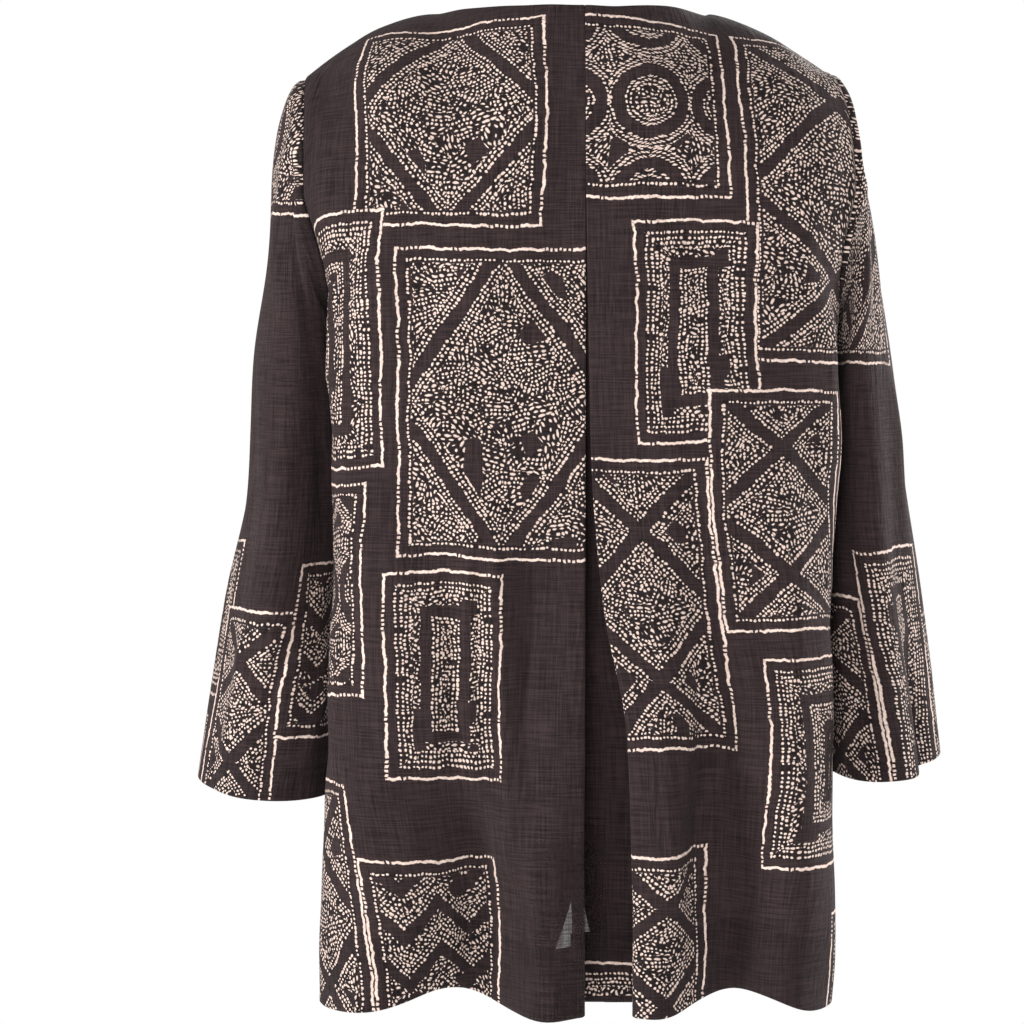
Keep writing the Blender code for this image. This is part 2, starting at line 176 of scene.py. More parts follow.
def pleatAt(height):
    columns = ("open", "turn", "radius")
    opening, degrees, radius = [readAt(pleat["sizes"], "height", name, height) for name in columns]
    turn = np.radians(degrees)
    bends = 4 * radius * (turn - np.sin(turn)) + 2 * radius
    run = (pleat["cloth"] - opening - bends) / (2 * (1 - np.cos(turn)))
    underlay = opening + 2 * radius - 4 * radius * np.sin(turn) - 2 * run * np.cos(turn)
    left = form["pleatEdge"] + radius
    return {"left": left, "right": left - opening - 2 * radius, "turn": turn, "radius": radius,
            "run": run, "underlay": underlay}


def pleatPath(height):
    sizes = pleatAt(height)
    place = np.stack([sizes["left"], np.zeros_like(height)], axis=-1)
    heading = np.full_like(height, np.pi)
    path = []

    def bend(angle):
        nonlocal place, heading
        step = angle / pleat["arcSteps"]
        chord = 2 * sizes["radius"] * np.sin(np.abs(step) / 2)
        for _ in range(pleat["arcSteps"]):
            middle = heading + step / 2
            place = place + chord[:, None] * np.stack([np.cos(middle), np.sin(middle)], axis=-1)
            heading = heading + step
            path.append(place)

    def straight(length, steps):
        nonlocal place
        for _ in range(steps):
            way = np.stack([np.cos(heading), np.sin(heading)], axis=-1)
            place = place + (length / steps)[:, None] * way
            path.append(place)

    bend(sizes["turn"])
    straight(sizes["run"], pleat["runSteps"])
    bend(-sizes["turn"])
    straight(sizes["underlay"], pleat["underlaySteps"])
    bend(-sizes["turn"])
    straight(sizes["run"], pleat["runSteps"])
    bend(sizes["turn"])
    return np.stack(path[:-1], axis=1)


def centreLine(side, face, height):
    if face == back:
        return pleatAt(height)[side]
    shift = form["pleatEdge"] * smooth(-height / form["centreShiftHeight"])
    down = np.maximum((form["ventTop"] - height) / (form["ventTop"] - form["backHem"]), 0.0)
    return shift + sides[side] * form["ventHalfWidth"][side] * down ** form["ventSpreadPower"]


def formDepth(side, face, x, height):
    down = np.clip((formTop(side, face, x) - height) / form["shoulderRoll"], 0.0, 1.0)
    full = readAt(body, "height", "back" if face == back else "front", height)
    return full * np.sqrt(1 - (1 - down) ** 2)


def armholeTurn(side, height):
    share = (height - form["underarm"]) / (armholes[side]["shoulderZ"] - form["underarm"])
    return np.arccos(np.clip(2 * share - 1, -1.0, 1.0))


def bodyEdge(side, face, height):
    seam = sides[side] * readAt(body, "height", side, height)
    hole = armholePoint(side, face, armholeTurn(side, height))
    low = height <= form["underarm"]
    return np.where(low, seam, hole[..., 0]), np.where(low, 0.0, hole[..., 1])


def edgeRoundness(side, face, height):
    hole = armholePoint(side, face, np.maximum(armholeTurn(side, height), form["leastTurn"]))
    share = np.abs(hole[..., 1]) / formDepth(side, face, armholes[side]["shoulderX"], hole[..., 2])
    return np.where(height <= form["underarm"], 0.0, np.minimum(share, 1.0))


def hemHeight(side, face, across):
    start = centreLine(side, face, np.full_like(across, form["backHem"]))
    x = between(start, sides[side] * body[side][-1], across)
    dip = form["frontHemDip"] * (1 - across**2) if face == front else 0.0
    folds = foldOut(face, x, form["backHem"]) * (1 - across ** form["foldFadePower"])
    return form["backHem"] - dip - form["hemFollowsFolds"] * folds


def panelPoint(side, face, across, row, x=None):
    power = form["sidePower"]
    rise = (1 - np.cos(np.pi * np.maximum(row - 1, 0.0))) / 2
    topX = x
    if x is None:
        start = centreLine(side, face, np.zeros_like(across))
        topX = between(start, sides[side] * armholes[side]["shoulderX"], across)
    lower = between(hemHeight(side, face, across), form["underarm"], np.minimum(row, 1.0))
    height = between(lower, cutTop(side, face, topX), rise)
    edgeX, edgeY = bodyEdge(side, face, height)
    atEdge = edgeRoundness(side, face, height)
    reach = (1 - atEdge**power) ** (1 / power)
    roundness = np.maximum(1 - (across * reach) ** power, 0.0) ** (1 / power)
    if x is None:
        start = centreLine(side, face, height)
        taper = form["taper"][face] * (1 - smooth((height - form["underarm"]) / form["taperFade"]))
        x = start + (edgeX - start) * across * (1 + taper * roundness) / (1 + taper * atEdge)
    y = np.where(across < 1, formDepth(side, face, topX, height) * roundness, np.abs(edgeY))
    y = y + foldOut(face, x, height) * (1 - across ** form["foldFadePower"])
    return np.stack([x, face * y, height], axis=-1)


# how finely the cloth is modelled, and its make-up: hems turned up, edges drawn in at the seams
cloth = {
    "thickness": 0.0007, "cell": 0.0042, "topCell": 0.0040, "hem": 0.055, "cuffHem": 0.025,
    "neckWidth": 0.112, "shoulderWidth": 0.190, "upperLength": 0.25, "evenRow": 0.9,
    "turnGap": 0.0011, "seamGap": 0.00015, "seamDitch": 0.0009, "ditchWidth": 0.0035, "calm": 0.020,
    "sharp": math.radians(50),
}
# creases: how deep the tables' heights come out, and how they wander, fade at both ends and widen downwards
crease = {"depth": 2.6, "wander": 5.1, "start": 0.28, "end": 0.35, "half": 0.62, "wide": (0.75, 0.5)}
# the soft waves all over the cloth, in metres
waves = {
    "seed": 4877, "count": 14, "lean": 0.45, "length": (0.045, 0.150), "bend": 0.012, "bends": (0.06, 0.16),
}


def evenShares(curve, start, end, count):
    # places from start to end that lie evenly along the curve
    fine = np.linspace(start, end, 1500)
    points = curve(fine)
    length = np.concatenate([[0], np.cumsum(np.linalg.norm(np.diff(points, axis=0), axis=1))])
    places = np.interp(np.linspace(0, length[-1], count + 1), length, fine)
    places[0], places[-1] = start, end
    return places


def panelColumns(side, face):
    start = float(centreLine(side, face, np.zeros(1))[0])
    neck = sides[side] * form["neckHalfWidth"] - start
    neck /= sides[side] * armholes[side]["shoulderX"] - start

    def level(across):
        return panelPoint(side, face, across, np.full_like(across, cloth["evenRow"]))

    inner = evenShares(level, 0.0, neck, round(cloth["neckWidth"] / cloth["cell"]))
    outer = evenShares(level, neck, 1.0, round(cloth["shoulderWidth"] / cloth["cell"]))
    return np.concatenate([inner, outer[1:]])


def panelRows():
    hemShare = cloth["hem"] / (form["underarm"] - form["backHem"])
    hemRows = np.linspace(0, hemShare, round(cloth["hem"] / cloth["cell"]) + 1)
    lowerCount = round((form["underarm"] - form["backHem"] - cloth["hem"]) / cloth["cell"])
    lower = np.linspace(hemShare, 1, lowerCount + 1)[1:]
    upper = 1 + np.linspace(0, 1, round(cloth["upperLength"] / cloth["topCell"]) + 1)[1:]
    return np.concatenate([hemRows, lower, upper]), len(hemRows)


def lengthAlong(points, axis):
    steps = np.linalg.norm(np.diff(points, axis=axis), axis=-1)
    zero = np.zeros_like(np.take(steps, [0], axis=axis))
    return np.concatenate([zero, np.cumsum(steps, axis=axis)], axis=axis)


def clothNormals(points, wrap, outward):
    along = np.gradient(points, axis=0)
    if wrap:
        across = np.roll(points, -1, axis=1) - np.roll(points, 1, axis=1)
    else:
        across = np.gradient(points, axis=1)
    normals = unit(np.cross(across, along))
    return normals if np.sum(normals * outward) > 0 else -normals


def creaseHeight(rows, u, v):
    # each row: start (u, v), end (u, v), how far out (in, if negative), half width, wander; all in mm
    height = np.zeros_like(u)
    least, more = crease["wide"]
    for u0, v0, u1, v1, out, width, wander in rows:
        startAt, endAt = np.array([u0, v0]) / 1000, np.array([u1, v1]) / 1000
        way = endAt - startAt
        length = np.linalg.norm(way)
        way = way / length
        along = ((u - startAt[0]) * way[0] + (v - startAt[1]) * way[1]) / length
        bend = wander / 1000 * np.sin(along * crease["wander"] + u0 * 0.37 + v0 * 0.11)
        off = (u - startAt[0]) * -way[1] + (v - startAt[1]) * way[0] - bend
        ends = smooth(along / crease["start"] + 0.15) * smooth((1 - along) / crease["end"] + 0.1)
        ends = ends * (np.abs(along - 0.5) < crease["half"])
        wide = width / 1000 * (least + more * np.clip(along, 0, 1))
        height += crease["depth"] * out / 1000 * ends * np.exp(-((off / wide) ** 2))
    return height


def undulation(u, v, amount, seed):
    random = np.random.default_rng(waves["seed"] + seed)
    height = np.zeros_like(u)
    longest = waves["length"][1]
    for _ in range(waves["count"]):
        angle = random.normal(0.0, waves["lean"])
        wave = random.uniform(*waves["length"])
        phase = random.uniform(0, 2 * math.pi)
        bend = waves["bend"] * np.sin(v / random.uniform(*waves["bends"]) + random.uniform(0, 6))
        across = (u + bend) * math.cos(angle) + v * math.sin(angle)
        height += random.uniform(0.4, 1.0) * wave / longest * np.sin(2 * math.pi * across / wave + phase)
    return amount * height / 3.0


def addObject(name, data):
    made = bpy.data.objects.new(name, data)
    bpy.context.scene.collection.objects.link(made)
    return made


def clothPiece(name, points, normals, cutUv, edgeUv, wrap, flip, material, zone=None):
    # two skins, half the thickness out and in, and the rims between them
    rows, columns = points.shape[:2]
    count = rows * columns
    half = normals * cloth["thickness"] / 2
    places = np.concatenate([(points + half).reshape(-1, 3), (points - half).reshape(-1, 3)])
    index = np.arange(count).reshape(rows, columns)
    if wrap:
        index = np.concatenate([index, index[:, :1]], axis=1)

    def corners(values):
        quads = [values[:-1, :-1], values[:-1, 1:], values[1:, 1:], values[1:, :-1]]
        return np.stack(quads, axis=2).reshape(-1, 4, *values.shape[2:])

    uvs = np.concatenate([cutUv, edgeUv], axis=-1)
    outer, outerUv = corners(index), corners(uvs)
    faces, faceUvs = [outer, outer[:, ::-1] + count], [outerUv, outerUv[:, ::-1]]
    rims = [(index[0], uvs[0], True), (index[-1], uvs[-1], False)]
    if not wrap:
        rims += [(index[:, 0], uvs[:, 0], False), (index[:, -1], uvs[:, -1], True)]
    for line, lineUv, reverse in rims:
        if reverse:
            line, lineUv = line[::-1], lineUv[::-1]
        faces.append(np.stack([line[:-1], line[1:], line[1:] + count, line[:-1] + count], axis=1))
        faceUvs.append(np.stack([lineUv[:-1], lineUv[1:], lineUv[1:], lineUv[:-1]], axis=1))
    faces, faceUvs = np.concatenate(faces), np.concatenate(faceUvs)
    if flip:
        faces, faceUvs = faces[:, ::-1], faceUvs[:, ::-1]
    mesh = bpy.data.meshes.new(name)
    mesh.vertices.add(len(places))
    mesh.vertices.foreach_set("co", places.astype(np.float32).ravel())
    mesh.loops.add(faces.size)
    mesh.loops.foreach_set("vertex_index", faces.astype(np.int32).ravel())
    mesh.polygons.add(len(faces))
    mesh.polygons.foreach_set("loop_start", np.arange(0, faces.size, 4, dtype=np.int32))
    for layer, (low, high) in {"Cut": (0, 2), "Edges": (2, 4)}.items():
        uvMap = mesh.uv_layers.new(name=layer)
        uvMap.data.foreach_set("uv", faceUvs[..., low:high].astype(np.float32).ravel())
    mesh.update(calc_edges=True)
    mesh.validate()
    mesh.shade_smooth()
    mesh.set_sharp_from_angle(angle=cloth["sharp"])
    mesh.materials.append(material)
    if zone is not None:
        zoneMaterial, inZone = zone
        mesh.materials.append(zoneMaterial)
        chosen = inZone(faceUvs[..., :2].mean(axis=1), faceUvs[..., 2:].mean(axis=1))
        mesh.polygons.foreach_set("material_index", chosen.astype(np.int32))
    return addObject(name, mesh)


def operation(kind):
    return lambda value, *others: value.paint.maths(kind, value, *others)


# Shader sums written as plain expressions
class Value:
    def __init__(self, paint, socket):
        self.paint, self.socket = paint, socket

    def __rsub__(self, other):
        return self.paint.maths("SUBTRACT", other, self)

    __add__ = __radd__ = operation("ADD")
    __mul__ = __rmul__ = operation("MULTIPLY")
    __sub__, __truediv__, __abs__ = operation("SUBTRACT"), operation("DIVIDE"), operation("ABSOLUTE")
    __lt__, __gt__ = operation("LESS_THAN"), operation("GREATER_THAN")
    least, most = operation("MINIMUM"), operation("MAXIMUM")
    fold, over = operation("PINGPONG"), operation("FLOORED_MODULO")
    floor, root = operation("FLOOR"), operation("SQRT")

    def step(self, low, high):
        # 0 at low and 1 at high, softly; high may be the lower one
        rising = low < high
        made = self.paint.node("MapRange", {"interpolation_type": "SMOOTHSTEP"}, {
            0: self, 1: min(low, high), 2: max(low, high), 3: float(not rising), 4: float(rising)})
        return Value(self.paint, made.outputs[0])


class Paint:
    def __init__(self, name):
        self.material = bpy.data.materials.new(name)
        self.material.use_nodes = True
        self.tree = self.material.node_tree
        self.tree.nodes.clear()

    def node(self, kind, settings=None, inputs=None):
        made = self.tree.nodes.new("ShaderNode" + kind)
        for name, value in (settings or {}).items():
            setattr(made, name, value)
        for name, value in (inputs or {}).items():
            if isinstance(value, Value):
                value = value.socket
            if isinstance(value, bpy.types.NodeSocket):
                self.tree.links.new(value, made.inputs[name])
            else:
                made.inputs[name].default_value = value
        return made

    def maths(self, operation, *numbers):
        made = self.node("Math", {"operation": operation}, dict(enumerate(numbers)))
        return Value(self, made.outputs[0])

    def vectorMaths(self, operation, *vectors):
        return self.node("VectorMath", {"operation": operation}, dict(enumerate(vectors))).outputs[0]

    def mixVector(self, share, a, b):
        return self.node("Mix", {"data_type": "VECTOR"}, {0: share, 4: a, 5: b}).outputs[1]

    def mixColour(self, share, a, b, way="MIX"):
        settings = {"data_type": "RGBA", "blend_type": way}
        return self.node("Mix", settings, {0: share, 6: a, 7: b}).outputs[2]

    def parts(self, vector):
        split = self.node("SeparateXYZ", inputs={0: vector})
        return [Value(self, socket) for socket in split.outputs]

    def vector(self, x, y, z=0.0):
        return self.node("CombineXYZ", inputs={0: x, 1: y, 2: z}).outputs[0]

    def noise(self, vector, scale, detail=2.0, roughness=0.5):
        made = self.node("TexNoise", {"noise_dimensions": "3D"},
                         {"Vector": vector, "Scale": scale, "Detail": detail, "Roughness": roughness})
        return Value(self, made.outputs["Fac"]), made.outputs["Color"]

    def random(self, vector):
        made = self.node("TexWhiteNoise", {"noise_dimensions": "3D"}, {"Vector": vector})
        return Value(self, made.outputs["Value"]), made.outputs["Color"]


def fromScreen(red, green, blue):
    # a colour read off the screen, as linear light
    values = [channel / 255 for channel in (red, green, blue)]
    return tuple(c / 12.92 if c <= 0.04045 else ((c + 0.055) / 1.055) ** 2.4 for c in values) + (1.0,)


# the print: its dots and lines in millimetres; a nest or zigzag is (how far apart, how wide its bare band)
printed = {
    "pitch": 3.3, "dot": 0.275, "dotSpread": 0.08, "soft": 0.09, "jitter": 0.30,
    "line": (0.6, 2.6), "gap": 8.8, "edgeRow": 12.1, "field": 13.0, "band": 4.2, "cleanRows": 8.5,
    "nest": (23.0, 8.0), "zigzag": (27.0, 8.4), "ring": 0.80, "bead": 3.5,
    "wobble": (15.0, 0.009), "handWobble": (4.0, 0.055), "fineWobble": (1.3, 0.30), "patch": 17.0,
    "ground": fromScreen(60, 46, 47), "fieldGround": fromScreen(43, 33, 34),
    "cream": fromScreen(236, 214, 202), "creamLow": fromScreen(166, 141, 131),
    "brown": fromScreen(58, 41, 40),
}
lattice, nested, rings, chevrons = range(4)


def motif(paint, local, sizes, kindVector):
    x, y, _ = paint.parts(local)
    halfX, halfY, _ = paint.parts(sizes)
    cellX, cellY, kind = paint.parts(kindVector)
    across, down = abs(x), abs(y)
    toSideX, toSideY = halfX - across, halfY - down
    edge = toSideX.least(toSideY)
    besideX = toSideX < toSideY
    onEdge = besideX * y + (1 - besideX) * x
    a, b = across.fold(cellX), down.fold(cellY)
    quarter = (x / cellX).floor() * 7 + (y / cellY).floor() * 13 + besideX * 3
    slant = (cellX * cellX + cellY * cellY).root()
    bandHalf = printed["band"]
    diamond = (1 - a / cellX - b / cellY) * cellX * cellY / slant
    onBand = abs(diamond) < bandHalf
    latticeAt = paint.vector(abs(diamond) - bandHalf, (a * cellX - b * cellY) / slant, onBand)
    apart, band = printed["nest"]
    inNest = (edge - printed["field"]).over(apart)
    nestedAt = paint.vector(inNest, onEdge, inNest > apart - band)
    radius = (a * a + b * b).root()
    ringEdge = abs(radius - cellX.least(cellY) * printed["ring"])
    angle = paint.maths("ARCTAN2", b, a)
    ringAt = paint.vector(ringEdge - bandHalf, angle * radius.most(9.0), ringEdge < bandHalf)
    apart, band = printed["zigzag"]
    slope = ((a + y) * math.sqrt(0.5)).over(apart)
    chevronAt = paint.vector(slope - band, (a - y) * math.sqrt(0.5), slope < band)
    spot = latticeAt
    for number, other in ((nested, nestedAt), (rings, ringAt), (chevrons, chevronAt)):
        spot = paint.mixVector(abs(kind - number) < 0.5, spot, other)
    rows, along, plain = paint.parts(spot)
    nearEdge = edge < printed["field"]
    # away from the bands the rows turn every which way, from one small patch to the next
    loose = (rows > printed["cleanRows"]) * (1 - nearEdge)
    scale = 1 / printed["patch"]
    cells = paint.node("TexVoronoi", {"voronoi_dimensions": "2D"}, {"Vector": local, "Scale": scale})
    turnLuck, strokeLuck, bareLuck = paint.parts(cells.outputs["Color"])
    turn = turnLuck * math.pi
    cosine, sine = paint.maths("COSINE", turn), paint.maths("SINE", turn)
    rows = loose * (x * cosine + y * sine) + (1 - loose) * rows
    along = loose * (y * cosine - x * sine) + (1 - loose) * along
    rows = nearEdge * (edge - printed["gap"]) + (1 - nearEdge) * rows
    along = nearEdge * onEdge + (1 - nearEdge) * along
    bare = (bareLuck < 0.07) * loose
    edgeRow = (edge > printed["gap"]) * (edge < printed["edgeRow"])
    show = nearEdge * edgeRow + (1 - nearEdge) * (1 - plain) * (1 - bare)
    return edge, onEdge, rows, along, loose, strokeLuck, quarter, show


def dots(paint, rows, along, loose, strokeLuck, quarter, seed):
    # resist dots, one to a cell, in rows; away from the bands many are short strokes that lean
    row = (rows / printed["pitch"]).floor()
    rowLuck, _ = paint.random(paint.vector(row, quarter, seed))
    strokes = (strokeLuck * 0.7 + rowLuck * 0.6 > 0.66) * loose
    stretch = 1 + 0.75 * strokes
    place = along / printed["pitch"] / stretch + rowLuck
    cell = place.floor()
    luck, colours = paint.random(paint.vector(row, cell, quarter + seed))
    luckX, luckY, luckSize = paint.parts(colours)
    offRow = rows / printed["pitch"] - row - 0.5 + (luckX - 0.5) * printed["jitter"]
    offCell = (place - cell - 0.5 + (luckY - 0.5) * printed["jitter"]) * stretch
    lean = (luckY - 0.5) * (0.2 + 0.9 * loose)
    turned = offRow + offCell * lean
    longer = 1 + strokes * (0.8 + luckSize * 0.9) + (luckSize > 0.9) * 0.7
    turnedAlong = (offCell - offRow * lean) / longer
    size = printed["dot"] + (luckX - 0.5) * 2 * printed["dotSpread"] - strokes * 0.05
    distance = (turned * turned + turnedAlong * turnedAlong).root()
    return (size - distance).step(-printed["soft"], printed["soft"]) * (luck > 0.05), luck


def printMask(paint, millimetres, patches, seed):
    local = paint.vector(0.0, 0.0)
    sizes = paint.vector(-50.0, -50.0)
    kinds = paint.vector(40.0, 40.0, 0.0)
    for u0, u1, v0, v1, kind in patches:
        centre = ((u0 + u1) * 5.0, (v0 + v1) * 5.0, 0.0)
        half = (abs(u1 - u0) * 5.0, abs(v1 - v0) * 5.0, 1.0)
        cell = min(half[0], half[1]) if kind == lattice else min(half[0], half[1]) * 0.62
        cells = [half[i] / max(1, round(half[i] / cell)) for i in (0, 1)]
        shifted = paint.vectorMaths("SUBTRACT", millimetres, centre)
        room = paint.vectorMaths("SUBTRACT", half, paint.vectorMaths("ABSOLUTE", shifted))
        roomX, roomY, _ = paint.parts(room)
        inside = roomX.least(roomY) > 0
        local = paint.mixVector(inside, local, shifted)
        sizes = paint.mixVector(inside, sizes, half)
        kinds = paint.mixVector(inside, kinds, (*cells, float(kind)))
    edge, onEdge, rows, along, loose, strokeLuck, quarter, show = motif(paint, local, sizes, kinds)
    dot, luck = dots(paint, rows, along, loose, strokeLuck, quarter, seed)
    inside = edge > 0
    # the line round each block swells and thins, and breaks up into dots
    low, high = printed["line"]
    along = paint.vector(onEdge, edge * 0.2, seed)
    broken, _ = paint.noise(along, 0.035, 1.0)
    swell, _ = paint.noise(along, 0.30, 1.0)
    thin = (swell - 0.5) * 2.2
    line = (edge - low - thin).step(-0.35, 0.35) * (high + thin - edge).step(-0.35, 0.35)
    beads = paint.maths("SINE", onEdge * (2 * math.pi / printed["bead"])).step(-0.45, 0.15)
    line = line * (1 - broken.step(0.51, 0.55) * (1 - beads)) * swell.step(0.20, 0.26)
    field = show * inside
    return field, (dot * field).most(line * inside), luck


# the weave: yarns and hem stitches in millimetres, the band of painted seam-allowance shade in metres; each
# streak is how fast it changes along u and v, which draw it is, its detail and roughness
woven = {
    "yarn": 0.62, "hemStitch": 6.5, "seamShadeBand": 0.009,
    "weft": (0.030, 0.85, 0.0, 2.0, 0.6), "warp": (0.80, 0.024, 5.0, 2.0, 0.6),
    "fineWeft": (0.10, 2.6, 9.0, 1.0, 0.5), "pucker": (0.22, 0.10, 4.0, 1.0, 0.5),
    "crinkle": (0.16, 0.028, 2.0, 2.0, 0.55), "crinkled": (0.018, 0.007, 7.0, 1.0, 0.5),
    "relief": {"crinkle": 3.8, "pucker": 1.1, "slub": 0.20, "fine": 0.12, "weave": 0.05},
    "bump": {"Strength": 0.9, "Distance": 0.0010},
    "finish": {"Specular IOR Level": 0.16, "Sheen Weight": 0.035, "Sheen Roughness": 0.4,
               "Sheen Tint": (1.0, 0.86, 0.84, 1)},
}


def clothMaterial(name, patches, seed, hemDepth, sheer=None):
    paint = Paint(name)
    cutUv = paint.node("UVMap", {"uv_map": "Cut"}).outputs[0]
    edgeUv = paint.node("UVMap", {"uv_map": "Edges"}).outputs[0]
    millimetres = paint.vectorMaths("MULTIPLY", cutUv, (1000, 1000, 0))
    u, v, _ = paint.parts(millimetres)
    fromSeam, fromHem, _ = paint.parts(edgeUv)
    shift = (0.5, 0.5, 0.5)
    wobbled = millimetres
    for amount, scale in (printed["wobble"], printed["handWobble"], printed["fineWobble"]):
        _, colour = paint.noise(millimetres, scale, 1.0)
        moved = paint.vectorMaths("SUBTRACT", colour, shift)
        moved = paint.vectorMaths("MULTIPLY", moved, (amount, amount, 0))
        wobbled = paint.vectorMaths("ADD", wobbled, moved)
    field, mark, luck = printMask(paint, wobbled, patches, seed)

    def streaks(name):
        alongU, alongV, draw, detail, roughness = woven[name]
        return paint.noise(paint.vector(u * alongU, v * alongV, seed + draw), 1.0, detail, roughness)[0]

    # slubs: thick places in the yarns, along and across the cloth
    weft, warp, fineWeft = streaks("weft"), streaks("warp"), streaks("fineWeft")
    wide, _ = paint.noise(millimetres, 0.012)
    slub = weft.step(0.34, 0.68) * 0.55 + warp.step(0.36, 0.70) * 0.45
    turn = 2 * math.pi / woven["yarn"]
    weave = paint.maths("SINE", u * turn) * paint.maths("SINE", v * turn)
    # painted shade: the cloth is drawn 20 % darker where the hem is turned up, for the light two thin
    # layers hold back
    hemPaintedShade = 1 - (fromHem < hemDepth) * 0.20
    # painted shade: a band along each seam, as wide as the seam allowance inside, is drawn 10 % darker
    seamShadeBand = 1 - (fromSeam < woven["seamShadeBand"]) * 0.10
    # painted shade: up to 45 % darker within 1.6 mm of each seam, for the shade in its ditch; also sinks
    # the seam in the bump
    seamDitchShade = fromSeam.step(0.0002, 0.0016)
    tone = (0.26 + slub * 0.64 + (fineWeft - 0.5) * 0.28 + (wide - 0.5) * 0.20 + weave * 0.06) * hemPaintedShade
    tone = tone * seamShadeBand * (0.55 + 0.45 * seamDitchShade)
    ground = paint.mixColour(field, printed["ground"], printed["fieldGround"])
    ground = paint.mixColour(warp.step(0.5, 0.8) * 0.5, ground, printed["brown"])
    shades = paint.node("CombineColor", inputs={0: tone, 1: tone, 2: tone}).outputs[0]
    ground = paint.mixColour(1.0, ground, shades, "MULTIPLY")
    cream = paint.mixColour(luck * 0.35 + (1 - fineWeft) * 0.3, printed["cream"], printed["creamLow"])
    base = paint.mixColour(mark, ground, cream)
    # relief: crinkles that run mostly down the cloth, slubs and the weave itself
    crinkle = streaks("crinkle") * (0.14 + streaks("crinkled").step(0.46, 0.62) * 1.1)
    pucker = streaks("pucker")
    hemStitch = paint.maths("SINE", u * (2 * math.pi / woven["hemStitch"])) > 0.55
    stitches = hemStitch * (1 - abs(fromHem - (hemDepth - 0.002)).step(0.0004, 0.0012))
    share = woven["relief"]
    relief = crinkle * share["crinkle"] + pucker * share["pucker"] + slub * share["slub"]
    relief = relief + fineWeft * share["fine"] + weave * share["weave"]
    relief = relief - stitches * 0.35 - (1 - seamDitchShade) * 0.6
    bump = paint.node("Bump", inputs={**woven["bump"], "Height": relief})
    shader = paint.node("BsdfPrincipled", inputs={
        "Base Color": base, "Roughness": 0.93 - slub * 0.16 - mark * 0.05, "Normal": bump.outputs[0],
        **woven["finish"],
    })
    if sheer:
        # thin cloth low at the centre, where light shows through a single layer
        left, right, top = sheer["from"], sheer["to"], sheer["top"]
        around = u.step(left, left + 14.0) * u.step(right, right - 10.0) * fromHem.step(top, top - 0.04)
        single = 0.25 + 0.75 * (fromHem > hemDepth)
        passing = (1 - mark) * (0.40 + 1.15 * (1 - slub)) * around * single * sheer["passes"]
        paint.tree.links.new((1 - passing).socket, shader.inputs["Alpha"])
    paint.tree.links.new(shader.outputs[0], paint.node("OutputMaterial").inputs[0])
    return paint.material


# the back, whose print lies in centimetres from the pleat's centre and from the underarm's level
backPiece = {
    "flat": (0.80, 0.80), "seed": 1.0, "undulation": 0.0032,
    "sheer": {"from": -126.0, "to": 3.0, "top": 0.155, "passes": 0.30},
    "patches": [
        (-26.5, -11.5, 24, 7, lattice), (-37.5, -24, 8.5, -11.5, nested),
        (-23, -6.5, 5.5, -18.5, lattice), (-37.5, -25.5, -12.5, -29.5, rings),
        (-24, -14.5, -19.5, -35.5, nested), (-37.5, -27.5, -36, -57, lattice),
        (-27.5, -16, -41.5, -57, chevrons), (7, 19.5, 24, 9, rings), (20.5, 37, 24, -3.5, lattice),
        (12, 21.5, 7.5, -9.5, nested), (6, 17.5, -10.5, -33.5, lattice), (17.5, 29, -5.5, -24, lattice),
        (29.5, 38, -7, -34.5, chevrons), (20, 32, -26, -42.5, nested), (6, 15.5, -41, -57, lattice),
        (27.5, 38, -46, -57, rings), (-6.8, 5.2, -50.5, -57, nested),
    ],
    # the creases, in millimetres on the same cloth
    "creases": [
        (-150, -145, -138, -430, 2.6, 9, 5), (-132, -170, -126, -395, -2.4, 7, 4),
        (-168, -150, -177, -398, 2.2, 7, 5), (-188, -180, -190, -360, -2.0, 8, 5),
        (-208, -60, -196, -330, -1.0, 22, 8), (160, -80, 146, -545, -2.4, 15, 6),
        (-252, -120, -232, -420, 1.3, 20, 7), (-300, -40, -282, -300, -1.3, 18, 6),
        (-96, -330, -103, -530, 1.0, 7, 3), (-134, -420, -128, -532, -1.0, 7, 3),
        (-196, -400, -205, -535, 0.9, 8, 3), (-160, 120, -205, -40, 1.1, 22, 8),
        (-260, 90, -295, -60, -1.5, 16, 6), (-286, 30, -330, -70, 1.4, 12, 5),
        (104, -250, 112, -500, 1.2, 9, 4), (136, -180, 151, -470, -1.5, 13, 6),
        (168, -120, 182, -420, 1.3, 16, 7), (205, -60, 214, -330, -0.9, 20, 7),
        (232, -190, 228, -470, 1.2, 15, 6), (268, -20, 258, -300, -1.4, 18, 6),
        (150, 110, 196, -50, -1.1, 20, 8), (248, 100, 288, -50, 1.5, 15, 6),
        (284, 40, 326, -90, -1.3, 12, 5), (300, -250, 306, -520, 1.2, 16, 6),
        (-28, -260, -22, -510, 0.7, 14, 3), (24, -330, 30, -528, -0.7, 12, 3),
    ],
}


def halfPanel(side, face, rows):
    across, row = np.meshgrid(panelColumns(side, face), rows)
    return panelPoint(side, face, across, row)


def backGrid(rows):
    left, right = halfPanel("left", back, rows), halfPanel("right", back, rows)
    height = left[:, 0, 2]
    path, sizes = pleatPath(height), pleatAt(height)
    x = path[..., 0]
    heights = np.repeat(height[:, None], x.shape[1], axis=1)
    row = np.repeat(rows[:, None], x.shape[1], axis=1)
    middle = (sizes["left"] + sizes["right"])[:, None] / 2
    laid = {}
    for side in sides:
        edgeX = bodyEdge(side, back, heights)[0]
        across = np.maximum((x - sizes[side][:, None]) / (edgeX - sizes[side][:, None]), 0.0)
        laid[side] = panelPoint(side, back, across, row, x=x)
    formed = np.where((x > middle)[..., None], laid["left"], laid["right"])
    up = np.gradient(formed, axis=0)
    outward = unit(np.stack([np.zeros_like(x), up[..., 2], -up[..., 1]], axis=-1))
    folded = formed + path[..., 1:] * outward
    return np.concatenate([left[:, ::-1], folded, right], axis=1)


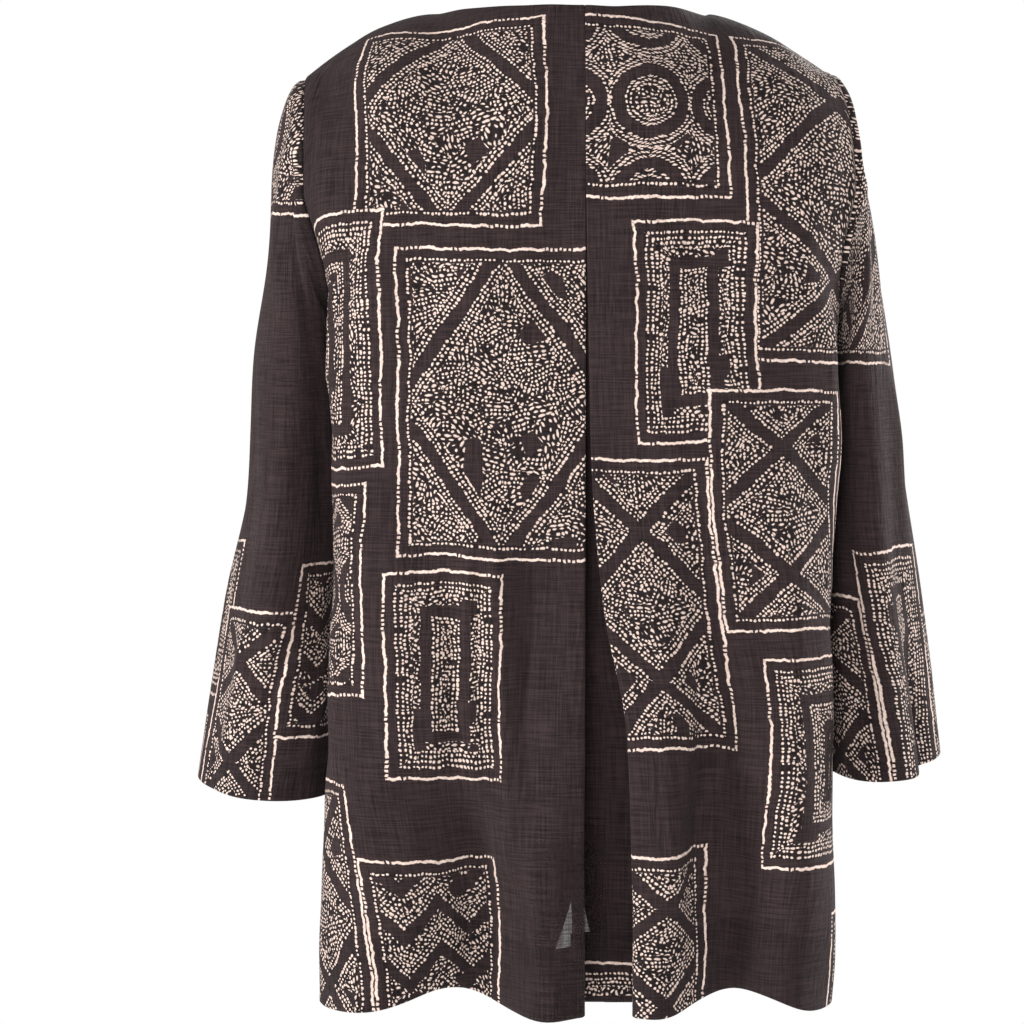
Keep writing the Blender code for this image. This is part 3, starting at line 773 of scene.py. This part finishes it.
def turnUp(points, normals, hemCount):
    # the cloth goes on past the hem's fold and lies up inside it
    inner = points[:hemCount][::-1] - normals[:hemCount][::-1] * cloth["turnGap"]
    fold = points[:1] - normals[:1] * cloth["turnGap"] / 2
    fold = fold - unit(points[1:2] - points[:1]) * cloth["turnGap"] / 2
    return np.concatenate([inner[:-1], fold, points])


def hemSteps(values, hemCount):
    return np.concatenate([values[:hemCount][::-1][:-1], values[:1], values])


def dress(piece, points, outward, seams, hemCount, wrap=False, calmNear=None):
    # seams: the distance of each point from each seam that the piece has
    closed = np.concatenate([points, points[:, :1]], axis=1) if wrap else points
    fromEnd = lengthAlong(closed, 1)
    u = fromEnd - fromEnd[:, piece["centreColumn"]:piece["centreColumn"] + 1]
    if wrap:
        u = piece["cutAcross"](closed, u)
    v = closed[..., 2] - piece["topHeight"] if wrap else lengthAlong(closed, 0)
    if not wrap:
        v = v - v[levelRow:levelRow + 1]
    fromHem = np.abs(v - v[:1])
    fromSeam = seams(closed)
    normals = clothNormals(points, wrap, outward)
    inner = slice(0, points.shape[1])
    calm = smooth(fromSeam[:, inner] / cloth["calm"])
    if calmNear is not None:
        calm = calm * calmNear
    height = undulation(u[:, inner], v[:, inner], piece["undulation"], int(piece["seed"]))
    height = (height + creaseHeight(piece["creases"], u[:, inner], v[:, inner])) * calm
    if wrap:
        height = height * smooth(np.minimum(fromEnd, fromEnd[:, -1:] - fromEnd)[:, inner] / 0.02)
    ditch = cloth["seamDitch"] * (1 - smooth(fromSeam[:, inner] / cloth["ditchWidth"]))
    points = points + normals * (height - ditch)[..., None]
    normals = clothNormals(points, wrap, outward)
    grid = turnUp(points, normals, hemCount)
    normals = hemSteps(normals, hemCount)
    normals[:hemCount - 1] *= -1
    normals[hemCount - 1] = unit(grid[hemCount - 1] - (grid[hemCount] + grid[hemCount - 2]) / 2)
    inwardV = v[:1] - (v[:hemCount][::-1][:-1] - v[:1])
    cutV = np.concatenate([inwardV, v[:1], v])
    cutUv = np.stack([hemSteps(u, hemCount), cutV], axis=-1)
    edgeUv = np.stack([hemSteps(fromSeam, hemCount), hemSteps(fromHem, hemCount)], axis=-1)
    return grid, normals, cutUv, edgeUv


def finishPiece(piece, dressed, hemDepth, wrap=False, flip=False):
    name = piece["replaces"] + "_cloth"
    material = clothMaterial(name, piece["patches"], piece["seed"], hemDepth)
    made = clothPiece(name, *dressed, wrap, flip, material, piece.get("zone"))
    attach(made, "root")
    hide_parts(piece["replaces"])
    print(made.name, len(made.data.polygons), "faces")


rows, hemCount = panelRows()
levelRow = int(np.argmin(np.abs(rows - 1)))  # the row at the underarm's level


def panelSeams(points):
    ends = np.minimum(lengthAlong(points, 1), lengthAlong(points[:, ::-1], 1)[:, ::-1])
    top = lengthAlong(points[::-1], 0)[::-1]
    shoulder = np.abs(points[-1, :, 0]) > form["neckHalfWidth"] - 0.0005
    return np.minimum(ends, np.where(shoulder, top, 1.0))


def makeBack():
    piece = backPiece
    points = backGrid(rows)
    half = len(panelColumns("left", back))
    pleatColumns = points.shape[1] - half - len(panelColumns("right", back))
    piece.update(centreColumn=half + pleatColumns // 2, replaces="back")
    # inside the closed pleat the layers lie too near each other for creases
    quiet = pleat["calm"]
    calmNear = np.ones(points.shape[:2])
    inPleat = slice(half - 2, half + pleatColumns + 2)
    calmNear[:, inPleat] = quiet["share"] * smooth((quiet["from"] - points[:, inPleat, 2]) / quiet["over"])
    near = np.arange(points.shape[1])
    for edge, way in ((half - 2, -1), (half + pleatColumns + 1, 1)):
        away = (near - edge) * way
        calmNear *= np.where(away > 0, smooth(away / quiet["columns"] + 0.1), 1.0)[None]
    dressed = dress(piece, points, np.array((0.0, 1.0, 0.0)), panelSeams, hemCount, calmNear=calmNear)
    zone = piece["sheer"]
    sheer = clothMaterial("back_cloth_sheer", piece["patches"], piece["seed"], cloth["hem"], zone)

    def lowCentre(cutAt, edgeAt):
        across = (cutAt[:, 0] * 1000 > zone["from"]) & (cutAt[:, 0] * 1000 < zone["to"])
        return across & (edgeAt[:, 1] < zone["top"])

    piece["zone"] = sheer, lowCentre
    finishPiece(piece, dressed, cloth["hem"])


makeBack()


frontPieces = {
    "left": {
        "flat": (0.36, 0.80), "area": 0.24, "seed": 2.0, "undulation": 0.0034,
        "patches": [
            (12.5, 31, 26, 8, lattice), (1.5, 13.5, 9.5, -8, rings), (14, 37, 6, -15.5, nested),
            (0.8, 12.5, -9.5, -33, lattice), (13, 24, -17, -40, chevrons),
            (24.5, 38, -16.5, -34, lattice), (14, 23, -43.5, -57, nested), (26, 38, -38, -57, rings),
        ],
        "creases": [
            (60, -60, 74, -330, 1.3, 14, 6), (110, 20, 128, -300, -1.4, 18, 7),
            (170, 60, 176, -260, 1.2, 16, 6), (220, 40, 246, -200, -1.5, 15, 6),
            (250, -150, 240, -430, 1.4, 17, 6), (150, -230, 160, -500, -1.2, 12, 5),
            (96, -300, 90, -520, 1.1, 10, 4), (30, -120, 38, -400, -0.9, 14, 4),
            (290, 30, 316, -110, 1.4, 12, 5),
        ],
    },
    "right": {
        "flat": (0.36, 0.80), "area": 0.24, "seed": 3.0, "undulation": 0.0034,
        "patches": [
            (14.5, 34, 26, 10.5, nested), (3, 15.5, 12, -12, lattice), (16.5, 27.5, 7.5, -12.5, chevrons),
            (28, 38, 8.5, -14, rings), (1, 11, -15, -31, nested), (11.5, 26, -14.5, -37, lattice),
            (27, 38, -17, -37, nested), (17, 29, -41, -57, lattice), (30.5, 38, -41, -52, rings),
        ],
        "creases": [
            (54, -30, 62, -300, -1.2, 15, 6), (104, 30, 122, -250, 1.4, 18, 7),
            (160, 50, 180, -280, -1.3, 16, 6), (214, 60, 240, -170, 1.5, 15, 6),
            (262, -120, 250, -400, -1.4, 17, 6), (140, -250, 148, -520, 1.3, 12, 5),
            (86, -280, 78, -500, -1.1, 11, 4), (28, -160, 34, -430, 0.9, 13, 4),
            (286, 20, 320, -120, -1.4, 12, 5),
        ],
    },
}


def makeFront(side):
    piece = frontPieces[side]
    piece.update(centreColumn=0, replaces="front_" + side)
    points = halfPanel(side, front, rows)
    points[:, 0, 0] += sides[side] * cloth["seamGap"]
    dressed = dress(piece, points, np.array((0.0, -1.0, 0.0)), panelSeams, hemCount)
    finishPiece(piece, dressed, cloth["hem"], flip=side == "right")


for side in sides:
    makeFront(side)


sleeveColumns = "outerX outerZ innerX innerZ middleY depth groove"
sleeves = {
    "left": [
        (0.211, -0.051, 0.171, -0.24, 0, 0.072, 0),
        (0.2245, -0.08, 0.1795, -0.2385, -0.002, 0.072, 0),
        (0.235, -0.121, 0.1815, -0.252, -0.008, 0.071, 0),
        (0.242, -0.178, 0.183, -0.275, -0.016, 0.07, 0),
        (0.25, -0.25, 0.184, -0.318, -0.022, 0.07, 0),
        (0.2575, -0.327, 0.185, -0.372, -0.025, 0.07, 0.03),
        (0.265, -0.397, 0.1855, -0.428, -0.026, 0.07, 0.05),
        (0.278, -0.464, 0.186, -0.484, -0.026, 0.071, 0.06),
        (0.29, -0.536, 0.187, -0.55, -0.025, 0.073, 0.08),
        (0.301, -0.607, 0.188, -0.614, -0.024, 0.076, 0.1),
    ],
    "right": [
        (0.201, -0.046, 0.19, -0.24, 0, 0.072, 0),
        (0.213, -0.085, 0.2, -0.2385, -0.003, 0.071, 0),
        (0.2265, -0.13, 0.203, -0.252, -0.011, 0.069, 0),
        (0.2425, -0.178, 0.2045, -0.275, -0.02, 0.067, 0.02),
        (0.2545, -0.25, 0.205, -0.318, -0.027, 0.066, 0.1),
        (0.2645, -0.327, 0.205, -0.372, -0.029, 0.068, 0.2),
        (0.2725, -0.397, 0.205, -0.428, -0.029, 0.071, 0.26),
        (0.283, -0.464, 0.205, -0.484, -0.028, 0.075, 0.31),
        (0.2935, -0.528, 0.205, -0.542, -0.026, 0.079, 0.35),
        (0.3025, -0.59, 0.205, -0.598, -0.024, 0.084, 0.38),
    ],
}
sleeveForm = {
    "groovePlace": math.radians(42), "grooveWidth": math.radians(26), "sectionPower": 2.2,
    "capReach": 0.014, "capRings": 2.0, "capReachPower": 0.7, "capFall": 0.35, "capBlend": 4.0,
    "cuffDip": 0.007, "cuffDipPower": 3, "roundness": 0.86, "around": 92,
}
# u runs round each sleeve from its outer edge, over the rear and, below nought, over the front
sleevePieces = {
    "left": {
        "flat": (0.42, 0.60), "area": 0.20, "seed": 4.0, "undulation": 0.0030,
        "patches": [
            (-21, -9, -4, -18, nested), (-10, 3.5, 3, -14.5, lattice), (2, 20, 1, -11, rings),
            (-21, -10, -40, -58, lattice), (-10.5, 4, -36.5, -49, nested), (2.5, 11, -41.5, -58, lattice),
            (10.5, 21, -38, -52, chevrons), (-9, 1.5, -50.5, -58, chevrons),
        ],
        "creases": [
            (60, -20, 78, -190, 1.4, 11, 6), (96, -60, 116, -230, -1.4, 10, 5),
            (40, -210, 52, -460, -1.3, 13, 6), (84, -260, 92, -500, 1.5, 12, 6),
            (122, -240, 118, -470, -1.4, 11, 5), (150, -180, 140, -420, 1.5, 12, 5),
            (60, -430, 66, -560, 1.6, 9, 4), (104, -440, 100, -565, -1.7, 9, 4),
            (136, -450, 142, -565, 1.5, 9, 4), (-60, -30, -76, -300, 1.6, 13, 6),
            (-110, -60, -98, -380, -1.6, 14, 7), (-140, -60, -134, -320, 1.5, 13, 6),
            (-44, -330, -36, -560, 1.6, 12, 5), (-84, -360, -92, -560, -1.5, 12, 5),
            (-150, -260, -160, -500, 1.4, 13, 5),
        ],
    },
    "right": {
        "flat": (0.42, 0.60), "area": 0.20, "seed": 5.0, "undulation": 0.0030,
        "patches": [
            (-21, -8, 2, -14, lattice), (-9.5, 4, 3, -18.5, nested), (3, 20, 0, -23, lattice),
            (-21, -9, -37, -52, rings), (-10, 2.5, -43, -58, lattice), (1.5, 10.5, -37.5, -58, nested),
            (10.5, 21, -41, -58, lattice),
        ],
        "creases": [
            (50, -30, 64, -220, -1.3, 11, 5), (88, -50, 104, -240, 1.5, 11, 5),
            (126, -90, 132, -300, -1.4, 12, 5), (30, -240, 36, -500, 1.4, 13, 6),
            (112, -300, 120, -540, -1.4, 11, 5), (150, -230, 150, -500, 1.5, 11, 5),
            (48, -440, 44, -560, -1.6, 9, 4), (96, -460, 100, -562, 1.6, 8, 4),
            (-54, -60, -70, -300, -1.6, 13, 6), (-100, -50, -92, -360, 1.6, 14, 7),
            (-142, -60, -138, -340, -1.5, 13, 6), (-40, -340, -34, -560, -1.6, 12, 5),
            (-84, -330, -94, -560, 1.5, 12, 5), (-148, -240, -158, -520, -1.4, 13, 5),
        ],
    },
}


def sleevePoint(side, along, turn):
    stations = dict(table(sleeveColumns, sleeves[side]), number=np.arange(float(len(sleeves[side]))))
    size = {name: readAt(stations, "number", name, along) for name in sleeveColumns.split()}
    power = 2 / sleeveForm["sectionPower"]
    out = np.sign(np.cos(turn)) * np.abs(np.cos(turn)) ** power
    rear = np.sign(np.sin(turn)) * np.abs(np.sin(turn)) ** power
    away = (turn - sleeveForm["groovePlace"]) / sleeveForm["grooveWidth"]
    pull = 1 - size["groove"] * np.exp(-(away**2))
    share = (1 + out * pull) / 2
    x, z = between(size["innerX"], size["outerX"], share), between(size["innerZ"], size["outerZ"], share)
    low = (along / stations["number"][-1]) ** sleeveForm["cuffDipPower"]
    z = z - sleeveForm["cuffDip"] * np.maximum(rear, 0.0) * low
    hanging = np.stack([sides[side] * x, size["middleY"] + size["depth"] * rear * pull, z], axis=-1)
    faces = [armholePoint(side, face, np.minimum(np.abs(turn), np.pi)) for face in (back, front)]
    seam = np.where((turn >= 0)[..., None], faces[0], faces[1])
    grown = np.minimum(along / sleeveForm["capRings"], 1.0) ** sleeveForm["capReachPower"]
    way = np.array([sides[side], 0.0, -sleeveForm["capFall"]])
    cap = seam + sleeveForm["capReach"] * grown[..., None] * way
    return between(cap, hanging, smooth(along / sleeveForm["capBlend"])[..., None])


def makeSleeve(side):
    piece = sleevePieces[side]
    heights = table(sleeveColumns, sleeves[side])["outerZ"]
    last = len(heights) - 1
    length = heights[0] - heights[-1]
    cuff = last * (1 - cloth["cuffHem"] / length)
    cuffCount = round(cloth["cuffHem"] / cloth["cell"]) + 1

    def outerEdge(along):
        return sleevePoint(side, along, np.zeros_like(along))

    upper = evenShares(outerEdge, 0.0, cuff, round((length - cloth["cuffHem"]) / cloth["cell"]))
    places = np.concatenate([upper, np.linspace(cuff, last, cuffCount)[1:]])[::-1]
    turns = (np.arange(sleeveForm["around"]) / sleeveForm["around"] * 2 - 1) * np.pi
    turn, along = np.meshgrid(turns, places)
    points = sleevePoint(side, along, turn)
    outward = points - points.mean(axis=1, keepdims=True)
    turnAll = np.append(turn[0], np.pi)[None]

    def cutAcross(closed, u):
        # near the armhole the cut goes by the distance round from the outer edge at the same height
        edge = closed[::-1, sleeveForm["around"] // 2]
        edge = edge[np.argsort(edge[:, 2])]
        away = [closed[..., i] - np.interp(closed[..., 2], edge[:, 2], edge[:, i]) for i in (0, 1)]
        level = np.sign(away[1]) * (np.abs(away[0]) + np.abs(away[1])) * sleeveForm["roundness"]
        share = smooth(along[:, :1] / sleeveForm["capBlend"] * 1.2) * smooth(np.abs(u) / 0.01 + 0.3)
        return between(np.where(np.abs(turnAll) > 0.02, level, u), u, share)

    piece.update(topHeight=heights[0], replaces="sleeve_" + side,
                 centreColumn=sleeveForm["around"] // 2, cutAcross=cutAcross)

    def sleeveSeams(closed):
        armholeSide = lengthAlong(closed[::-1], 0)[::-1]
        u = lengthAlong(closed, 1)
        underarm = np.minimum(u, u[:, -1:] - u)
        return np.minimum(armholeSide, underarm)

    dressed = dress(piece, points, outward, sleeveSeams, cuffCount, wrap=True)
    finishPiece(piece, dressed, cloth["cuffHem"], wrap=True, flip=side == "right")


for side in sides:
    makeSleeve(side)


studio = {
    "floorHeight": -1.45, "floorRadius": 2.4, "floorGlow": 0.20, "worldLight": 0.32,
    "camera": (0.047, 2.38, -0.25), "aim": (0.047, 0.05, -0.391), "lens": 104.9,
    # each light: name, place, the height at the centre that it looks at, size, power
    "lights": [
        ("key", (0.50, 2.95, 0.50), -0.40, 0.9, 68), ("side", (2.9, 1.05, 0.2), -0.38, 0.7, 90),
        ("fill", (-2.4, 1.7, 0.2), -0.40, 1.4, 16), ("frontKey", (-1.2, -2.7, 0.7), -0.38, 0.9, 66),
        ("frontSide", (-2.9, -1.0, 0.2), -0.38, 0.7, 90),
    ],
}


def makeFloor():
    mesh = bpy.data.meshes.new("floor")
    radius, height = studio["floorRadius"], studio["floorHeight"]
    turns = [2 * math.pi * i / 64 for i in range(64)]
    edge = [(radius * math.cos(t), radius * math.sin(t), height) for t in turns]
    mesh.from_pydata(edge, [], [list(range(len(edge)))])
    paint = Paint("paleFloor")
    shader = paint.node("BsdfPrincipled", inputs={
        "Base Color": (0.80, 0.80, 0.80, 1), "Roughness": 0.9,
        "Emission Color": (1, 1, 1, 1), "Emission Strength": studio["floorGlow"],
    })
    paint.tree.links.new(shader.outputs[0], paint.node("OutputMaterial").inputs[0])
    mesh.materials.append(paint.material)
    addObject("floor", mesh)


def makeLight(name, place, lookedAt, size, power):
    lamp = bpy.data.lights.new(name, "AREA")
    lamp.size = size
    lamp.energy = power
    light = addObject(name, lamp)
    light.location = place
    light.rotation_mode = "QUATERNION"
    light.rotation_quaternion = (Vector((0, 0, lookedAt)) - Vector(place)).to_track_quat("-Z", "Y")


def makeCamera():
    data = bpy.data.cameras.new("camera")
    data.lens = studio["lens"]
    camera = addObject("camera", data)
    camera.location = studio["camera"]
    drop = math.atan2(studio["camera"][2] - studio["aim"][2], studio["camera"][1] - studio["aim"][1])
    camera.rotation_euler = (math.pi / 2 - drop, 0, math.pi)
    bpy.context.scene.camera = camera


def makeWorld():
    # the backdrop is white, and lights the cloth less than it shows, so that the folds keep their shade
    world = bpy.data.worlds.new("studio")
    world.use_nodes = True
    nodes, links = world.node_tree.nodes, world.node_tree.links
    shade = nodes["Background"]
    shade.inputs["Color"].default_value = (1, 1, 1, 1)
    ray = nodes.new("ShaderNodeLightPath")
    strength = nodes.new("ShaderNodeMix")
    strength.inputs["A"].default_value = studio["worldLight"]
    strength.inputs["B"].default_value = 1.0
    links.new(ray.outputs["Is Camera Ray"], strength.inputs["Factor"])
    links.new(strength.outputs["Result"], shade.inputs["Strength"])
    bpy.context.scene.world = world
    bpy.context.scene.view_settings.view_transform = "Standard"


makeFloor()
for light in studio["lights"]:
    makeLight(*light)
makeWorld()
makeCamera()
print("studio ready")

bpy.context.view_layer.update()
